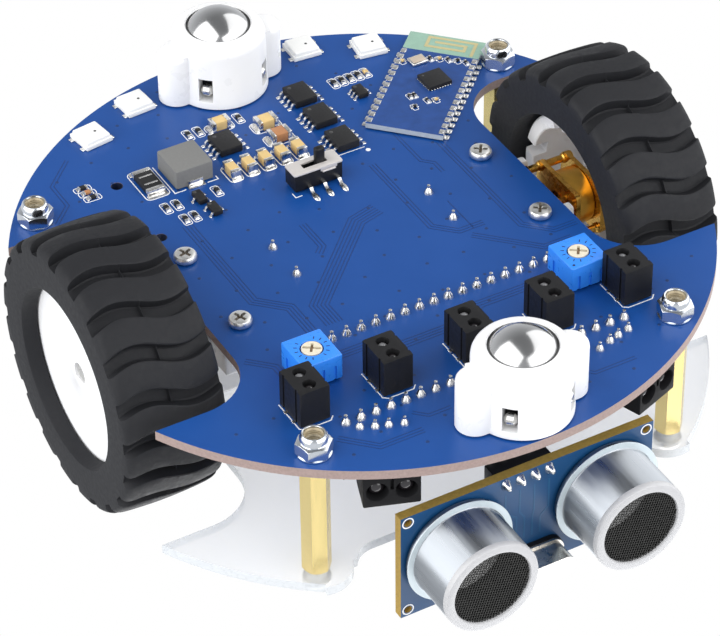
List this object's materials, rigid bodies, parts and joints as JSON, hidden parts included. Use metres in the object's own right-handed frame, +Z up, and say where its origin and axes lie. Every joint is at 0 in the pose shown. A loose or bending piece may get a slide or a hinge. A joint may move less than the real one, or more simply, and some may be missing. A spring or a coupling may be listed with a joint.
{
  "type": "two wheel robot car",
  "caption": "Small round-deck robot car with side drive wheels, ball casters, line sensors under the board and an ultrasonic distance sensor at the front.",
  "frame": {"origin": "on the ground plane, at the middle of the car's footprint (bounding box bottom centre)", "axes": "+Z up with the wheels standing on Z = 0 and the caster balls 1.3 mm above it; the front, with the distance sensor, is -Y; the wheel axle runs along X, and the car's left wheel is at +X"},
  "size_m": [0.1046, 0.1138, 0.048],
  "materials": {
    "blue_board": "glossy blue solder mask over glass laminate",
    "clear_acrylic": "clear polished acrylic",
    "brass": "bright turned brass",
    "steel": "nickel plated",
    "ball_steel": "polished",
    "aluminium": "satin",
    "white_plastic": "glossy moulded white",
    "black_plastic": "fine satin",
    "tyre_rubber": "matt rubber",
    "trimmer_blue": "satin blue",
    "cell_wrap": "glossy shrink sleeve"
  },
  "bodies": {
    "chassis": {"main_board": "blue_board", "upper_plate": "clear_acrylic", "standoff_front_left": "brass", "standoff_front_right": "brass", "standoff_rear_left": "brass", "standoff_rear_right": "brass", "lock_nut_front_left": "steel", "lock_nut_front_right": "steel", "lock_nut_rear_left": "steel", "lock_nut_rear_right": "steel", "plate_screw_front_left": "steel", "plate_screw_front_right": "steel", "plate_screw_rear_left": "steel", "plate_screw_rear_right": "steel", "bracket_screw_front_left": "steel", "bracket_screw_front_right": "steel", "bracket_screw_rear_left": "steel", "bracket_screw_rear_right": "steel", "motor_bracket_left": "white_plastic", "motor_bracket_right": "white_plastic", "motor_left": "aluminium", "motor_right": "aluminium", "gearbox_frame_left": "brass", "gearbox_frame_right": "brass", "caster_housing_front": "white_plastic", "caster_housing_rear": "white_plastic", "line_sensor_far_right": "black_plastic", "line_sensor_right": "black_plastic", "line_sensor_middle": "black_plastic", "line_sensor_left": "black_plastic", "line_sensor_far_left": "black_plastic", "trimmer_left": "trimmer_blue", "trimmer_right": "trimmer_blue", "switch_body": "steel", "radio_module": "blue_board", "obstacle_sensor_left": "black_plastic", "obstacle_sensor_right": "black_plastic", "distance_sensor_board": "blue_board", "transducer_left": "aluminium", "transducer_right": "aluminium", "pin_socket_front": "black_plastic", "pin_socket_rear": "black_plastic", "battery_holder": "black_plastic", "battery_cell": "cell_wrap"},
    "wheel_left": {"output_shaft_left": "steel", "wheel_hub_left": "white_plastic", "tyre_left": "tyre_rubber"},
    "wheel_right": {"output_shaft_right": "steel", "wheel_hub_right": "white_plastic", "tyre_right": "tyre_rubber"},
    "layshaft_left": {"reduction_gear_left": "brass"},
    "layshaft_right": {"reduction_gear_right": "brass"},
    "pinion_left": {"motor_pinion_left": "brass"},
    "pinion_right": {"motor_pinion_right": "brass"},
    "ball_front": {"caster_ball_front": "ball_steel"},
    "ball_rear": {"caster_ball_rear": "ball_steel"},
    "trim_left": {"trimmer_rotor_left": "white_plastic"},
    "trim_right": {"trimmer_rotor_right": "white_plastic"},
    "knob": {"switch_knob": "black_plastic"}
  },
  "joints": [
    {"name": "wheel_left_spin", "type": "hinge", "parent": "chassis", "child": "wheel_left", "pos_m": [0.045, 0.0013, 0.0223], "axis": [1, 0, 0], "continuous": true},
    {"name": "wheel_right_spin", "type": "hinge", "parent": "chassis", "child": "wheel_right", "pos_m": [-0.045, 0.0013, 0.0223], "axis": [1, 0, 0], "continuous": true},
    {"name": "layshaft_left_spin", "type": "hinge", "parent": "chassis", "child": "layshaft_left", "pos_m": [0.036, 0.00445, 0.0223], "axis": [1, 0, 0], "continuous": true},
    {"name": "layshaft_right_spin", "type": "hinge", "parent": "chassis", "child": "layshaft_right", "pos_m": [-0.036, -0.00185, 0.0223], "axis": [1, 0, 0], "continuous": true},
    {"name": "pinion_left_spin", "type": "hinge", "parent": "chassis", "child": "pinion_left", "pos_m": [0.034, 0.0013, 0.0223], "axis": [1, 0, 0], "continuous": true},
    {"name": "pinion_right_spin", "type": "hinge", "parent": "chassis", "child": "pinion_right", "pos_m": [-0.034, 0.0013, 0.0223], "axis": [1, 0, 0], "continuous": true},
    {"name": "ball_front_roll", "type": "hinge", "parent": "chassis", "child": "ball_front", "pos_m": [0, -0.0454, 0.0073], "axis": [1, 0, 0], "continuous": true},
    {"name": "ball_rear_roll", "type": "hinge", "parent": "chassis", "child": "ball_rear", "pos_m": [0, 0.049, 0.0073], "axis": [1, 0, 0], "continuous": true},
    {"name": "trim_left_turn", "type": "hinge", "parent": "chassis", "child": "trim_left", "pos_m": [0.0228, -0.0232, 0.0115], "axis": [0, 0, 1], "range_deg": [-130, 130]},
    {"name": "trim_right_turn", "type": "hinge", "parent": "chassis", "child": "trim_right", "pos_m": [-0.0236, -0.0234, 0.0115], "axis": [0, 0, 1], "range_deg": [-130, 130]},
    {"name": "knob_slide", "type": "slide", "parent": "chassis", "child": "knob", "axis": [1, 0, 0], "range_m": [0, 0.002]}
  ],
  "couplings": [
    {"joint": "layshaft_left_spin", "follows": "wheel_left_spin", "ratio": -2.5},
    {"joint": "pinion_left_spin", "follows": "wheel_left_spin", "ratio": 6.25},
    {"joint": "layshaft_right_spin", "follows": "wheel_right_spin", "ratio": -2.5},
    {"joint": "pinion_right_spin", "follows": "wheel_right_spin", "ratio": 6.25}
  ]
}
